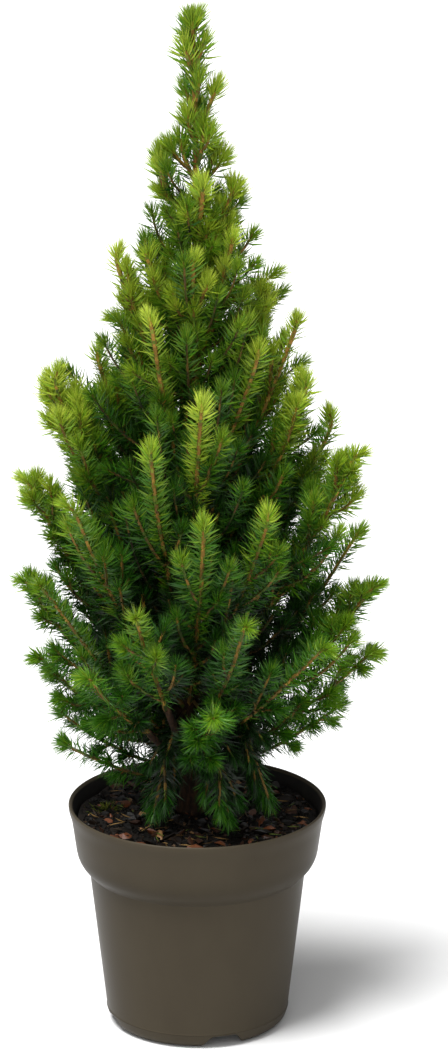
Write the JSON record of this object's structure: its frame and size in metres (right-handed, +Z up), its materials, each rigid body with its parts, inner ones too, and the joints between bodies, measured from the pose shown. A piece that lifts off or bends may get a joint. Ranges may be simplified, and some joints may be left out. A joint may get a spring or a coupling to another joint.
{
  "type": "potted dwarf alberta spruce",
  "caption": "Narrow conical dwarf conifer with steep bushy plumes of short needles, growing in a round tapered plastic nursery pot filled with potting mix.",
  "frame": {"origin": "middle of the pot's flat underside, on the ground", "axes": "+Z up along the trunk, -Y towards the front of the plant, +X to its right-hand side as seen from the front"},
  "size_m": [0.1915, 0.1872, 0.531],
  "materials": {
    "pot": "satin moulded plastic, warm taupe grey",
    "soil": "moist peat with bark chips",
    "bark": "rough scaly bark, orange-brown on young shoots",
    "foliage": "short green needles, brighter at the shoot tips"
  },
  "bodies": {
    "root": {"bough_lower_back_left": "bark", "bough_lower_back_right": "bark", "bough_lower_front_left": "bark", "bough_lower_front_right": "bark", "bough_lower_left": "bark", "bough_lower_right": "bark", "bough_shoulder_left": "bark", "bough_shoulder_right": "bark", "bough_skirt_left_front": "bark", "mass_leader": "foliage", "mass_lower_back_left": "foliage", "mass_lower_back_right": "foliage", "mass_lower_front_left": "foliage", "mass_lower_front_right": "foliage", "mass_lower_left": "foliage", "mass_lower_left_front": "foliage", "mass_lower_right": "foliage", "mass_lower_right_back": "foliage", "mass_lower_right_front": "foliage", "mass_middle_back_left": "foliage", "mass_middle_back_right": "foliage", "mass_middle_front": "foliage", "mass_middle_front_left": "foliage", "mass_middle_front_right": "foliage", "mass_middle_left": "foliage", "mass_middle_left_inner": "foliage", "mass_middle_right": "foliage", "mass_shoulder_back_left": "foliage", "mass_shoulder_back_right": "foliage", "mass_shoulder_front": "foliage", "mass_shoulder_front_left": "foliage", "mass_shoulder_front_right": "foliage", "mass_shoulder_left": "foliage", "mass_shoulder_right": "foliage", "mass_shoulder_right_back": "foliage", "mass_skirt_back": "foliage", "mass_skirt_front": "foliage", "mass_skirt_left": "foliage", "mass_skirt_left_back": "foliage", "mass_skirt_left_front": "foliage", "mass_skirt_right": "foliage", "mass_skirt_right_low": "foliage", "mass_spire_front": "foliage", "mass_spire_left": "foliage", "mass_spire_right": "foliage", "mass_tuft_front": "foliage", "mass_tuft_front_left": "foliage", "mass_tuft_left": "foliage", "mass_tuft_right": "foliage", "mass_upper_back": "foliage", "mass_upper_front": "foliage", "mass_upper_front_left": "foliage", "mass_upper_front_right": "foliage", "mass_upper_left": "foliage", "mass_upper_left_inner": "foliage", "mass_upper_right": "foliage", "mass_upper_right_inner": "foliage", "pot": "pot", "soil": "soil", "trunk": "bark"}
  },
  "joints": []
}
